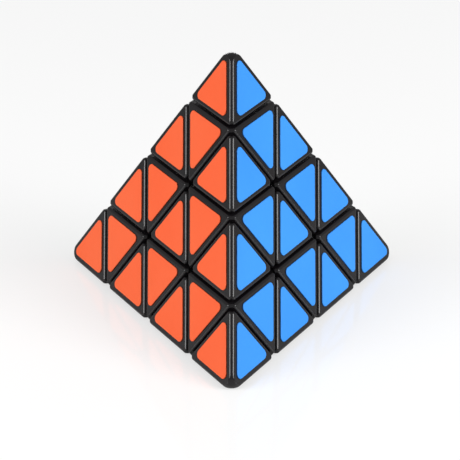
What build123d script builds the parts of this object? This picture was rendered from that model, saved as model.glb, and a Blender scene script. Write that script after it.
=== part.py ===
from build123d import *
import os
from itertools import combinations
from math import cos, radians, sin, sqrt

# Pyramid twisty puzzle with four layers along each corner axis.
# Origin: centre of the core. +Z points at the top corner, the front corner points towards -Y.
# Every cut is a plane, sphere, cone or cylinder about a corner axis, so that every layer can turn.

# ---- driving dimensions, mm
layer = 20.0  # distance between neighbouring cuts along a corner axis
skin = 0.3  # the flat faces lie this far outside the lattice of the cuts
seam = 0.25  # each piece stops this far from a visible cut
inner_seam = 0.15  # and this far from a hidden cut
edge_round = 0.8  # rounding of every visible edge
spine_flat_depth = 0.78  # flat planed along the puzzle's six outer edges
tetra_blunt = 2.2  # how far a tetrahedral piece's corners are cut back
dome_radius = 3.5  # rounded end of a tip
dome_rim_round = 0.5

core_radius = 9.0
foot_shell = (9.2, 12.0)  # feet of the middle edges and face centres
carrier_shell = (12.0, 14.5)  # carriers, and the flanges that cover their neighbours' feet
layer_shell = (14.5, 17.5)  # feet of the corner bases and wings
flange_offset = 2.5  # deep cuts move out by this in the carrier shell
cone_angle = 48.0  # half-angle of the socket that holds the feet of one layer
stem_radius = 10.5  # socket's mouth, where the feet pass through to the outside

arm_radius, arm_top = 2.9, 26.0
arm_bore, screw_bore = 3.0, 1.3  # bores that turn on an arm, and that take a screw
cavity_radius, cavity_top = 6.0, 35.0  # room for screw, spring and washer in a corner
plug_radius, plug_top = 5.9, 24.0  # boss of a corner base, fitted into its corner
peg_radius, peg_bore = 3.0, 3.08  # tip's peg, and its bore in the corner
peg_proud = 0.1  # the peg reaches this far into the cavity
overlap = 1.0  # solids that fuse run this far into each other

screw_radius = 1.2
axle_screw_end, axle_head_seat, axle_head_top = 12.0, 30.7, 32.7
axle_head_radius, axle_head_round = 4.8, 0.5
axle_recess_width, axle_recess_depth = 4.4, 1.1
washer_hole, washer_radius, washer_low, washer_high = 3.2, 5.5, 24.15, 24.95
spring_wire, spring_coil, spring_low = 0.35, 4.1, 25.5
spring_turns, spring_pitch = 3.5, 1.35
tip_screw_end, tip_head_low, tip_head_high = 43.5, 33.75, 34.6
tip_head_radius, tip_recess_width, tip_recess_depth = 4.4, 3.6, 0.4

sticker_thickness = 0.3
up_sticker_inradius, up_sticker_round = 5.09, 1.4
down_sticker_inradius, down_sticker_round = 5.36, 1.35

# ---- the four corner axes of a regular tetrahedron
AXES = {
    "top": Vector(0, 0, 1),
    "front": Vector(0, -2 * sqrt(2) / 3, -1 / 3),
    "left": Vector(-sqrt(6) / 3, sqrt(2) / 3, -1 / 3),
    "right": Vector(sqrt(6) / 3, sqrt(2) / 3, -1 / 3),
}
face_level = -(layer + skin)  # height of the face opposite a corner, along that corner's axis
stock_size = 260.0
stock = Box(stock_size, stock_size, stock_size)


def level_plane(corner, level):
    """The plane across a corner axis at a height above the centre."""
    return Plane(origin=AXES[corner] * level, z_dir=AXES[corner])


def trimmed(shape, above=None, below=None):
    """Keep what lies above and below the given heights along the corner axes."""
    for corner, level in (above or {}).items():
        shape = split(shape, bisect_by=level_plane(corner, level), keep=Keep.TOP)
    for corner, level in (below or {}).items():
        shape = split(shape, bisect_by=level_plane(corner, level), keep=Keep.BOTTOM)
    return shape


def turned(shape, first, second):
    """Carry a piece modelled for the top and front corners to two other corners."""
    z_dir = AXES[first]
    x_dir = AXES[second] - z_dir * AXES[second].dot(z_dir)
    there = Plane(origin=(0, 0, 0), x_dir=x_dir, z_dir=z_dir)
    here = Plane(origin=(0, 0, 0), x_dir=(0, -1, 0), z_dir=(0, 0, 1))
    return there.location * here.location.inverse() * shape


def others(*corners):
    return [corner for corner in AXES if corner not in corners]


# ---- outer bodies


def blunted(shape, distance):
    """Cut each corner of a piece back by a distance."""
    middle = shape.center(CenterOf.MASS)
    for tip in [Vector(*vertex) for vertex in shape.vertices()]:
        out = (tip - middle).normalized()
        cut = Plane(origin=tip - out * distance, z_dir=out)
        shape = split(shape, bisect_by=cut, keep=Keep.BOTTOM)
    return shape


def spine_planed(shape):
    """Plane the narrow flats along the puzzle's outer edges."""
    for a, b in combinations(AXES, 2):
        out = (AXES[a] + AXES[b]).normalized()
        flat = Plane(origin=out * (-face_level * sqrt(3) - spine_flat_depth), z_dir=out)
        shape = split(shape, bisect_by=flat, keep=Keep.BOTTOM)
    return shape


def outer_body(above, below=None):
    """Octahedral piece between cuts on both sides, or tetrahedral piece with blunt corners."""
    shape = trimmed(stock, above, below)
    if below is None:
        shape = blunted(shape, tetra_blunt)
    return fillet(spine_planed(shape).edges(), edge_round)


def faces_for(*corners):
    return {corner: face_level for corner in corners}


def domed(shape):
    """Round the outermost corner of the top tip to a ball that touches its three outer flats."""
    flats_meet = -3 * face_level - spine_flat_depth * sqrt(3)
    centre = flats_meet - dome_radius * sqrt(3)
    touch = centre + dome_radius / sqrt(3)
    above = Pos(0, 0, touch + stock_size / 2) * stock
    shape -= above - Pos(0, 0, centre) * Sphere(dome_radius)
    balls = [face for face in shape.faces() if face.geom_type == GeomType.SPHERE]
    dome = max((face for face in balls if face.center().Z > touch), key=lambda face: face.area)
    return fillet([edge for edge in dome.edges() if edge.length > 2 * dome_rim_round], dome_rim_round)


def rod(radius, low, high):
    """A cylinder on the top axis between two heights."""
    return Pos(0, 0, low) * Cylinder(radius, high - low, align=(Align.CENTER, Align.CENTER, Align.MIN))


def tip_body():
    """Top tip with the peg that turns in the corner."""
    shape = domed(outer_body({"top": 2 * layer + seam, **faces_for(*others("top"))}))
    peg_low = cavity_top - peg_proud
    peg = rod(peg_radius, peg_low, 2 * layer + seam + overlap)
    return shape + peg - rod(screw_bore, peg_low, tip_screw_end + overlap)


# ---- hidden solids of revolution


def shell(low, high):
    return Sphere(high) - Sphere(low)


def socket_cone(reach, grow=0.0):
    """Solid cone on the top axis from the centre out to a reach, its side moved out by grow."""
    angle = radians(cone_angle)
    apex = -grow / sin(angle)
    radius, top = reach * sin(angle), apex + reach * cos(angle)
    profile = Polyline((0, apex), (radius, top), (0, top), close=True)
    return revolve(Plane.XZ * make_face(profile), axis=Axis.Z)


def layer_foot(top):
    """Foot and stem that hold one layer's pieces, before it is cut between them."""
    low, high = layer_shell[0] + inner_seam, layer_shell[1] - inner_seam
    foot = Sphere(high) & socket_cone(2 * high, -inner_seam)
    return foot + rod(stem_radius - inner_seam, 0, top) - Sphere(low)


def layer_socket():
    """The space that a turning layer's feet and stem need, with clearance."""
    high = layer_shell[1] + inner_seam
    space = Sphere(high) & socket_cone(2 * high, inner_seam)
    inside = Sphere(carrier_shell[1] - inner_seam)
    return space + rod(stem_radius + inner_seam, 0, layer + overlap) - inside


def wing_body():
    """Wing next to the top corner, on the edge towards the front corner."""
    shape = outer_body({"top": layer + seam, "front": seam, **faces_for("left", "right")})
    beside = {corner: -inner_seam for corner in others("top", "front")}
    return shape + trimmed(layer_foot(layer + seam + overlap), {"front": inner_seam}, beside)


def corner_body():
    """Octahedral corner piece under the top tip, open from below."""
    beside = {corner: -seam for corner in others("top")}
    faces = faces_for(*others("top"))
    shape = outer_body({"top": layer + seam, **faces}, {"top": 2 * layer - seam, **beside})
    return shape - rod(cavity_radius, layer, cavity_top) - rod(peg_bore, cavity_top, 2 * layer)


def corner_base_body():
    """Foot, stem and boss that carry the top corner piece on its arm."""
    beside = {corner: -inner_seam for corner in others("top")}
    shape = trimmed(layer_foot(layer + seam), None, beside)
    return shape + rod(plug_radius, layer, plug_top) - rod(arm_bore, 0, plug_top)


def foot_and_flange(above_foot, below_foot, above_flange, below_flange):
    """Foot in the innermost shell, flange in the carrier shell, and the neck that joins them."""
    foot = trimmed(shell(foot_shell[0], foot_shell[1] - inner_seam), above_foot, below_foot)
    flange_space = shell(carrier_shell[0] + inner_seam, carrier_shell[1] - inner_seam)
    flange = trimmed(flange_space, above_flange, below_flange)
    middle_low, middle_high = sum(foot_shell) / 2, sum(carrier_shell) / 2
    lower_neck = trimmed(shell(middle_low, middle_high), above_flange, below_foot)
    upper_neck = trimmed(shell(middle_high, layer_shell[0] + overlap), above_flange, below_foot)
    return foot + flange + lower_neck, upper_neck


def middle_edge_body():
    """Middle piece of the edge between the top and front corners."""
    pair, rest = ("top", "front"), others("top", "front")
    body = outer_body(
        {**{corner: seam for corner in pair}, **faces_for(*rest)},
        {**{corner: layer - seam for corner in pair}, **{corner: -seam for corner in rest}},
    )
    lower, neck = foot_and_flange(
        {corner: inner_seam for corner in pair},
        {corner: -inner_seam for corner in rest},
        {corner: flange_offset + inner_seam for corner in pair},
        {corner: flange_offset - inner_seam for corner in rest},
    )
    body = body - Sphere(layer_shell[0] + inner_seam) + neck
    for corner in pair:
        body -= turned(layer_socket(), corner, others(corner)[0])
    return body + lower


def face_centre_body():
    """Centre piece of the bottom face."""
    around = others("top")
    body = outer_body({**{corner: seam for corner in around}, **faces_for("top")})
    foot_cuts = {corner: inner_seam for corner in around}
    flange_cuts = {corner: flange_offset + inner_seam for corner in around}
    lower, neck = foot_and_flange(foot_cuts, None, flange_cuts, None)
    body = body - Sphere(layer_shell[0] + inner_seam) + neck
    for corner in around:
        body -= turned(layer_socket(), corner, others(corner)[0])
    return body + lower


def carrier_body():
    """Hidden flange that turns on the top arm and covers the feet of three middle edges."""
    space = shell(carrier_shell[0] + inner_seam, carrier_shell[1] - inner_seam)
    beside = {corner: flange_offset - inner_seam for corner in others("top")}
    return trimmed(space, {"top": flange_offset + inner_seam}, beside) - rod(arm_bore, 0, layer)


def core_body():
    """Ball with an arm on every corner axis, bored for the screws."""
    body = Sphere(core_radius)
    for corner in AXES:
        body += turned(rod(arm_radius, 0, arm_top), corner, others(corner)[0])
    for corner in AXES:
        body -= turned(rod(screw_bore, axle_screw_end - overlap, arm_top), corner, others(corner)[0])
    return body


# ---- fasteners and springs on the top axis


def cross_recess(width, low, high):
    """Cross slot between two heights."""
    length = high - low
    slot = Box(width, width / 4, length) + Box(width / 4, width, length)
    return Pos(0, 0, (low + high) / 2) * slot


def axle_screw():
    head = rod(axle_head_radius, axle_head_seat, axle_head_top)
    head = fillet(head.edges().sort_by(Axis.Z)[-1:], axle_head_round)
    screw = head + rod(screw_radius, axle_screw_end, axle_head_seat + overlap)
    return screw - cross_recess(axle_recess_width, axle_head_top - axle_recess_depth, axle_head_top)


def axle_washer():
    return rod(washer_radius, washer_low, washer_high) - rod(washer_hole, washer_low, washer_high)


def axle_spring():
    path = Pos(0, 0, spring_low) * Helix(spring_pitch, spring_pitch * spring_turns, spring_coil)
    section = Plane(origin=path @ 0, z_dir=path % 0) * Circle(spring_wire)
    return sweep(section, path=path, is_frenet=True)


def tip_screw():
    head = rod(tip_head_radius, tip_head_low, tip_head_high)
    screw = head + rod(screw_radius, tip_head_low, tip_screw_end)
    return screw - cross_recess(tip_recess_width, tip_head_low, tip_head_low + tip_recess_depth)


# ---- stickers


def sticker(face, levels):
    """Rounded triangle on the face opposite a corner, in the cell with these levels."""
    points_up = abs(sum(levels.values())) < layer / 2
    shift = layer / 3 if points_up else -layer / 3
    heights = {corner: level + shift for corner, level in levels.items()}
    heights[face] = -layer
    centre = AXES[face] * -skin
    for corner, height in heights.items():
        centre += AXES[corner] * (0.75 * height)
    first = next(iter(levels))
    towards = AXES[first] - AXES[face] * AXES[first].dot(AXES[face])
    size = up_sticker_inradius if points_up else down_sticker_inradius
    rounding = up_sticker_round if points_up else down_sticker_round
    plane = Plane(origin=centre, x_dir=towards if points_up else towards * -1, z_dir=AXES[face] * -1)
    outline = RegularPolygon(2 * size, 3)
    outline = fillet(outline.vertices(), rounding)
    return extrude(plane * outline, sticker_thickness)


def tip_stickers(corner):
    found = []
    for face in others(corner):
        around = {other: -layer for other in others(face, corner)}
        found.append(sticker(face, {corner: 2 * layer, **around}))
    return found


def wing_stickers(near, far):
    found = []
    for face in others(near, far):
        (rest,) = others(near, far, face)
        found.append(sticker(face, {near: layer, far: 0, rest: -layer}))
    return found


def corner_stickers(corner):
    found = []
    for face in others(corner):
        around = {other: 0 for other in others(face, corner)}
        found.append(sticker(face, {corner: 2 * layer, **around}))
    return found


def middle_edge_stickers(a, b):
    found = []
    for face in others(a, b):
        (rest,) = others(a, b, face)
        found.append(sticker(face, {a: layer, b: layer, rest: 0}))
    return found


def centre_sticker(face):
    return sticker(face, {corner: 0 for corner in others(face)})


# ---- writing the parts

FACE_NAMES = {"right": "left_face", "left": "right_face", "front": "back_face", "top": "bottom_face"}
BASE_CORNERS = ("front", "left", "right")


def write(name, shape):
    export_step(shape, f"parts/{name}.step")


def at(corner, shape):
    return turned(shape, corner, others(corner)[0])


def write_outer_pieces():
    tip, corner_shape, corner_base = tip_body(), corner_body(), corner_base_body()
    wing, middle_edge, face_centre = wing_body(), middle_edge_body(), face_centre_body()
    for corner in AXES:
        write(f"tip_{corner}", at(corner, tip))
        write(f"corner_{corner}", at(corner, corner_shape))
        write(f"corner_base_{corner}", at(corner, corner_base))
        write(f"centre_{FACE_NAMES[corner]}", at(corner, face_centre))
        for other in others(corner):
            write(f"wing_{corner}_{other}", turned(wing, corner, other))
    for a, b in combinations(AXES, 2):
        write(f"middle_edge_{a}_{b}", turned(middle_edge, a, b))


def write_inner_pieces():
    write("core", core_body())
    carrier, tip_fastener = carrier_body(), tip_screw()
    for corner in AXES:
        write(f"carrier_{corner}", at(corner, carrier))
        write(f"tip_screw_{corner}", at(corner, tip_fastener))
    fasteners = {"axle_screws": axle_screw(), "axle_washers": axle_washer(), "axle_springs": axle_spring()}
    for name, one in fasteners.items():
        write(name, Compound(children=[at(corner, one) for corner in AXES]))


def write_stickers():
    groups = {"base": [centre_sticker("top")], "upper_block": [], "top_layer": corner_stickers("top")}
    for a, b in combinations(AXES, 2):
        groups["upper_block" if "top" in (a, b) else "base"] += middle_edge_stickers(a, b)
    for corner in BASE_CORNERS:
        groups["upper_block"].append(centre_sticker(corner))
        groups["top_layer"] += wing_stickers("top", corner)
        layer_group = corner_stickers(corner)
        for other in BASE_CORNERS:
            if other != corner:
                layer_group += wing_stickers(corner, other)
        groups[f"{corner}_layer"] = layer_group
        groups[f"{corner}_wing"] = wing_stickers(corner, "top")
    for corner in AXES:
        groups[f"{corner}_tip"] = tip_stickers(corner)
    for name, found in groups.items():
        write(f"stickers_{name}", Compound(children=found))


os.makedirs("parts", exist_ok=True)
write_outer_pieces()
write_inner_pieces()
write_stickers()
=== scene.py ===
from itertools import combinations
from math import cos, pi, radians, sin, sqrt

import bmesh
import bpy
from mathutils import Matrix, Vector


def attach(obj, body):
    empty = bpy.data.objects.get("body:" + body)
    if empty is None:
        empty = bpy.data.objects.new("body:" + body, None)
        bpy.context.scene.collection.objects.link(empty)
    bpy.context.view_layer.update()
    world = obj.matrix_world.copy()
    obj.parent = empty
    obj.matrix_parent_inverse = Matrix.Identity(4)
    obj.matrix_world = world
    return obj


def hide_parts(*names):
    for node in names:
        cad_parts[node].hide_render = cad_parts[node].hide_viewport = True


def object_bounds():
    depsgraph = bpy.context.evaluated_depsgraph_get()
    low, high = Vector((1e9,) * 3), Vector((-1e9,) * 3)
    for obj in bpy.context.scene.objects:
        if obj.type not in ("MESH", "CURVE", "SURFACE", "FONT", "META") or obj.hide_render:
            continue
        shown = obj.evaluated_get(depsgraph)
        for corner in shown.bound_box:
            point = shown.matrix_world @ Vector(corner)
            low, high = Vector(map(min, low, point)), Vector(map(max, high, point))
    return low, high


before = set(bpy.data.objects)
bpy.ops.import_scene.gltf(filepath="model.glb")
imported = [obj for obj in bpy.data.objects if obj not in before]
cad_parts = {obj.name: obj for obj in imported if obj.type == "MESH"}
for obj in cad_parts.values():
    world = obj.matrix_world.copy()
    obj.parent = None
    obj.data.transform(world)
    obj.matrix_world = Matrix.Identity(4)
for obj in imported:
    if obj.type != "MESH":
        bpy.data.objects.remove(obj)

# Pyramid twisty puzzle in four layers: black plastic from the CAD model, with stickers rebuilt as film.

cad_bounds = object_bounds()

# ---- sizes of the puzzle, metres
layer = 0.020  # distance between neighbouring cuts along a corner axis
skin = 0.0003  # the plastic faces lie this far outside the lattice of the cuts
film = 0.0003  # sticker thickness
film_bevel = 0.00012  # rounding of a sticker's upper rim
bevel_steps = 3
up_inradius, up_round = 0.00509, 0.0014  # stickers in cells that point like the face
down_inradius, down_round = 0.00536, 0.00135  # stickers in cells that point the other way
corner_steps = 10  # segments in a sticker's rounded corner

# ---- floor, lights and camera, metres
floor_radius = 0.32
floor_drop = 0.00005  # keeps the floor off the plane of the bottom stickers
light_target = Vector((0, 0, 0.01))
softboxes = {
    "left softbox": {"location": (-0.82, -0.43, 0.5), "size": (0.6, 0.6), "radiance": 6.7},
    "right softbox": {"location": (0.82, -0.43, 0.5), "size": (0.6, 0.6), "radiance": 8.2},
    "low rear softbox": {"location": (0, 1.2, 0.12), "size": (1.0, 0.25), "radiance": 4.0},
}
floor_glow, floor_glow_seen = 0.15, 0.56  # emission for the puzzle, and for the camera
surround, surround_seen = 0.3, 1.0  # strength of the world, likewise
camera_elevation, camera_distance = radians(26.48), 0.805
camera_lens, camera_sensor = 219.0, 36.0  # millimetres
camera_shift = (-0.0035, 0.0133)

# ---- the four corner axes of a regular tetrahedron, and the colour of the face opposite each corner
AXES = {
    "top": Vector((0, 0, 1)),
    "front": Vector((0, -2 * sqrt(2) / 3, -1 / 3)),
    "left": Vector((-sqrt(6) / 3, sqrt(2) / 3, -1 / 3)),
    "right": Vector((sqrt(6) / 3, sqrt(2) / 3, -1 / 3)),
}
FACE_COLOURS = {"right": "orange", "left": "blue", "front": "green", "top": "yellow"}


def others(*corners):
    return [corner for corner in AXES if corner not in corners]


def place_at(heights):
    """The point at the given heights along the four corner axes; the heights add up to zero."""
    share = 3 / 4  # the axes are unit vectors with dot products of -1/3
    return sum((AXES[corner] * (share * height) for corner, height in heights.items()), Vector())


# ---- shader nodes


def set_inputs(tree, node, values):
    """Set a node's inputs: each to a value, or to the output that it is linked to."""
    for name, value in values.items():
        if isinstance(value, bpy.types.NodeSocket):
            tree.links.new(value, node.inputs[name])
        else:
            node.inputs[name].default_value = value


def add_node(tree, kind, values):
    node = tree.nodes.new(f"ShaderNode{kind}")
    set_inputs(tree, node, values)
    return node


def noise(tree, scale, detail):
    """Noise from 0 to 1, fixed to the object."""
    place = add_node(tree, "TexCoord", {}).outputs["Object"]
    return add_node(tree, "TexNoise", {"Vector": place, "Scale": scale, "Detail": detail}).outputs["Fac"]


def spread(tree, source, low, high, from_low=0.3, from_high=0.7):
    """Map a source to the values from low to high."""
    limits = {"From Min": from_low, "From Max": from_high, "To Min": low, "To Max": high}
    return add_node(tree, "MapRange", {"Value": source, **limits}).outputs["Result"]


def colour_mix(tree, factor, first, second):
    node = tree.nodes.new("ShaderNodeMix")
    node.data_type = "RGBA"
    colours = [socket for socket in node.inputs if socket.type == "RGBA"]
    colours[0].default_value, colours[1].default_value = first, second
    tree.links.new(factor, node.inputs[0])
    return next(socket for socket in node.outputs if socket.type == "RGBA")


def bump(tree, height, strength, distance):
    values = {"Height": height, "Strength": strength, "Distance": distance}
    return add_node(tree, "Bump", values).outputs["Normal"]


def camera_only(tree, elsewhere, seen):
    """One value for rays from the camera and another for all other rays."""
    from_camera = add_node(tree, "LightPath", {}).outputs["Is Camera Ray"]
    return spread(tree, from_camera, elsewhere, seen, 0.0, 1.0)


# ---- materials


def new_material(name):
    material = bpy.data.materials.new(name)
    material.use_nodes = True
    return material, material.node_tree, material.node_tree.nodes["Principled BSDF"]


def linear(*srgb):
    """Linear colour from 0-255 sRGB values."""
    values = [v / 255 for v in srgb]
    return tuple(v / 12.92 if v <= 0.04045 else ((v + 0.055) / 1.055) ** 2.4 for v in values) + (1.0,)


def plastic(name, dark, light, roughness, specular):
    """Injection-moulded plastic: fine satin grain, and a slow drift of tone and sheen."""
    material, tree, shader = new_material(name)
    drift = noise(tree, scale=45.0, detail=3.0)
    grain = noise(tree, scale=2600.0, detail=2.0)
    set_inputs(tree, shader, {
        "Base Color": colour_mix(tree, drift, dark, light),
        "Roughness": spread(tree, drift, roughness - 0.05, roughness + 0.05),
        "Specular IOR Level": specular,
        "Normal": bump(tree, grain, strength=0.12, distance=0.00002),
    })
    return material


def film_material(name, deep, pale):
    """Satin PVC film with a faint orange-peel surface."""
    material, tree, shader = new_material(name)
    drift = noise(tree, scale=30.0, detail=2.0)
    peel = noise(tree, scale=900.0, detail=3.0)
    set_inputs(tree, shader, {
        "Base Color": colour_mix(tree, spread(tree, drift, 0.0, 1.0), deep, pale),
        "Roughness": spread(tree, peel, 0.38, 0.48),
        "Specular IOR Level": 0.3,
        "Normal": bump(tree, peel, strength=0.06, distance=0.00003),
    })
    return material


def steel(name, roughness):
    """Bright metal with fine scratches."""
    material, tree, shader = new_material(name)
    scratches = noise(tree, scale=1200.0, detail=5.0)
    set_inputs(tree, shader, {
        "Base Color": colour_mix(tree, scratches, (0.42, 0.42, 0.43, 1), (0.66, 0.66, 0.67, 1)),
        "Metallic": 1.0,
        "Roughness": spread(tree, scratches, roughness - 0.06, roughness + 0.08),
        "Normal": bump(tree, scratches, strength=0.1, distance=0.00003),
    })
    return material


FILMS = {
    "orange": film_material("orange film", linear(255, 102, 54), linear(255, 109, 62)),
    "blue": film_material("blue film", linear(57, 151, 248), linear(63, 158, 252)),
    "green": film_material("green film", linear(38, 168, 84), linear(44, 178, 92)),
    "yellow": film_material("yellow film", linear(252, 206, 34), linear(254, 212, 46)),
}
BLACK = plastic("black plastic", linear(16, 14, 16), linear(24, 21, 23), roughness=0.22, specular=0.5)
INNER = plastic("inner plastic", linear(46, 46, 50), linear(58, 58, 62), roughness=0.45, specular=0.4)
STEEL = steel("zinc-plated steel", roughness=0.32)
SPRING = steel("spring steel", roughness=0.24)


def node_material(name):
    if name == "axle_springs":
        return SPRING
    if name.startswith(("axle_", "tip_screw")):
        return STEEL
    if name == "core" or name.startswith(("carrier", "corner_base")):
        return INNER
    return BLACK


def dress_frame():
    """Give every CAD part its material."""
    for name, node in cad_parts.items():
        node.data.materials.clear()
        node.data.materials.append(node_material(name))


# ---- stickers


def sticker_place(face, levels):
    """Whether a cell points up, and the centre, corner direction and normal of its sticker.

    A face is named by the corner opposite. The levels are those of the cuts or faces that bound the
    cell along the other three corner axes: below it where it points up, above it where it points down.
    """
    points_up = sum(levels.values()) < layer
    shift = layer / 3 if points_up else -layer / 3
    heights = {corner: level + shift for corner, level in levels.items()}
    centre = place_at({face: -layer, **heights}) - AXES[face] * skin
    first = next(iter(levels))
    towards = AXES[first] - AXES[face] * AXES[first].dot(AXES[face])
    towards.normalize()
    if not points_up:
        towards.negate()
    return points_up, centre, towards, -AXES[face]


def rounded_triangle(inradius, rounding):
    """Outline of a rounded triangle with one corner towards +X."""
    points = []
    reach = 2 * (inradius - rounding)
    for k in range(3):
        middle = 2 * pi * k / 3
        for step in range(corner_steps + 1):
            angle = middle + pi / 3 * (2 * step / corner_steps - 1)
            x = reach * cos(middle) + rounding * cos(angle)
            y = reach * sin(middle) + rounding * sin(angle)
            points.append((x, y))
    return points


def rim_profile():
    """Inset and height of each outline of a sticker, from its foot to its upper face."""
    profile = [(0.0, 0.0), (0.0, film - film_bevel)]
    for step in range(1, bevel_steps + 1):
        angle = pi / 2 * step / bevel_steps
        profile.append((film_bevel * (1 - cos(angle)), film - film_bevel * (1 - sin(angle))))
    return profile


def add_sticker(mesh, face, levels):
    """One film triangle with a softly cut rim, standing on its plastic face."""
    points_up, centre, x_dir, normal = sticker_place(face, levels)
    inradius, rounding = (up_inradius, up_round) if points_up else (down_inradius, down_round)
    y_dir = normal.cross(x_dir)
    loops = []
    for inset, height in rim_profile():
        outline = rounded_triangle(inradius - inset, rounding - inset)
        places = [centre + x_dir * x + y_dir * y + normal * height for x, y in outline]
        loops.append([mesh.verts.new(place) for place in places])
    count = len(loops[0])
    for low, high in zip(loops, loops[1:]):
        for i in range(count):
            j = (i + 1) % count
            side = mesh.faces.new((low[i], low[j], high[j], high[i]))
            side.smooth = True
    mesh.faces.new(loops[-1])
    mesh.faces.new(reversed(loops[0]))


def tip_cells(corner):
    """Face and levels of each sticker on a tip. The functions below do the same for other pieces."""
    for face in others(corner):
        yield face, {corner: 2 * layer, **{c: -layer for c in others(face, corner)}}


def corner_cells(corner):
    for face in others(corner):
        yield face, {corner: 2 * layer, **{c: 0 for c in others(face, corner)}}


def wing_cells(near, far):
    for face in others(near, far):
        (rest,) = others(near, far, face)
        yield face, {near: layer, far: 0, rest: -layer}


def middle_edge_cells(first, second):
    for face in others(first, second):
        (rest,) = others(first, second, face)
        yield face, {first: layer, second: layer, rest: 0}


def cells_of_bodies():
    """The cells of each body and face, as lists of levels."""
    found = {}

    def keep(body, cells):
        for face, levels in cells:
            found.setdefault((body, face), []).append(levels)

    for corner in AXES:
        keep(f"{corner}_tip", tip_cells(corner))
        keep(f"{corner}_layer", corner_cells(corner))
        centre = (corner, {c: 0 for c in others(corner)})
        keep("base" if corner == "top" else "upper_block", [centre])
        for far in others(corner):
            keep(f"{corner}_wing" if far == "top" else f"{corner}_layer", wing_cells(corner, far))
    for first, second in combinations(AXES, 2):
        keep("upper_block" if first == "top" else "base", middle_edge_cells(first, second))
    return found


def build_stickers():
    """One piece for each body and colour, in place of the body's sticker node."""
    groups = [(body, FACE_COLOURS[face], face, cells) for (body, face), cells in cells_of_bodies().items()]
    for body, colour, face, cells in sorted(groups, key=lambda group: group[:2]):
        mesh = bmesh.new()
        for levels in cells:
            add_sticker(mesh, face, levels)
        data = bpy.data.meshes.new(f"stickers_{colour}_{body}")
        mesh.to_mesh(data)
        mesh.free()
        data.materials.append(FILMS[colour])
        piece = bpy.data.objects.new(data.name, data)
        bpy.context.scene.collection.objects.link(piece)
        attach(piece, body)
        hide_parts(f"stickers_{body}")


# ---- stage: floor, lights, surroundings and camera


def floor_material():
    """White acrylic, brighter to the camera than to the puzzle, and clear when seen from below."""
    material, tree, shader = new_material("white acrylic")
    set_inputs(tree, shader, {
        "Base Color": (0.45, 0.45, 0.45, 1),
        "Roughness": 0.07,
        "Specular IOR Level": 0.35,
        "Emission Color": (1, 1, 1, 1),
        "Emission Strength": camera_only(tree, floor_glow, floor_glow_seen),
    })
    from_below = add_node(tree, "NewGeometry", {}).outputs["Backfacing"]
    clear = add_node(tree, "BsdfTransparent", {}).outputs[0]
    mix = tree.nodes.new("ShaderNodeMixShader")
    for socket, source in zip(mix.inputs, (from_below, shader.outputs[0], clear)):
        tree.links.new(source, socket)
    set_inputs(tree, tree.nodes["Material Output"], {"Surface": mix.outputs[0]})
    return material


def build_floor():
    level = cad_bounds[0][2] - floor_drop
    place = (0, 0, level)
    bpy.ops.mesh.primitive_circle_add(vertices=96, radius=floor_radius, fill_type="NGON", location=place)
    floor = bpy.context.object
    floor.name = "floor"
    floor.data.materials.append(floor_material())


def aim(thing, target):
    """Turn a light or camera to face a target."""
    thing.rotation_euler = (target - thing.location).to_track_quat("-Z", "Y").to_euler()


def build_softbox(name, location, size, radiance):
    """Rectangular light that faces the puzzle."""
    data = bpy.data.lights.new(name, "AREA")
    data.shape = "RECTANGLE"
    data.size, data.size_y = size
    data.energy = radiance * pi * size[0] * size[1]
    light = bpy.data.objects.new(name, data)
    bpy.context.scene.collection.objects.link(light)
    light.location = location
    aim(light, light_target)


def build_surroundings():
    """Dim world, which only the camera sees as white."""
    world = bpy.data.worlds.new("studio")
    bpy.context.scene.world = world
    world.use_nodes = True
    tree = world.node_tree
    strength = camera_only(tree, surround, surround_seen)
    set_inputs(tree, tree.nodes["Background"], {"Color": (1, 1, 1, 1), "Strength": strength})


def build_camera():
    """Camera in front of the puzzle, looking down at its centre."""
    data = bpy.data.cameras.new("camera")
    data.sensor_width, data.lens = camera_sensor, camera_lens
    data.shift_x, data.shift_y = camera_shift
    data.clip_end = 100.0
    camera = bpy.data.objects.new("camera", data)
    bpy.context.scene.collection.objects.link(camera)
    camera.location = Vector((0, -cos(camera_elevation), sin(camera_elevation))) * camera_distance
    aim(camera, Vector((0, 0, 0)))
    bpy.context.scene.camera = camera


dress_frame()
build_stickers()
build_floor()
for name, softbox in softboxes.items():
    build_softbox(name, **softbox)
build_surroundings()
build_camera()
bpy.context.scene.view_settings.view_transform = "Standard"
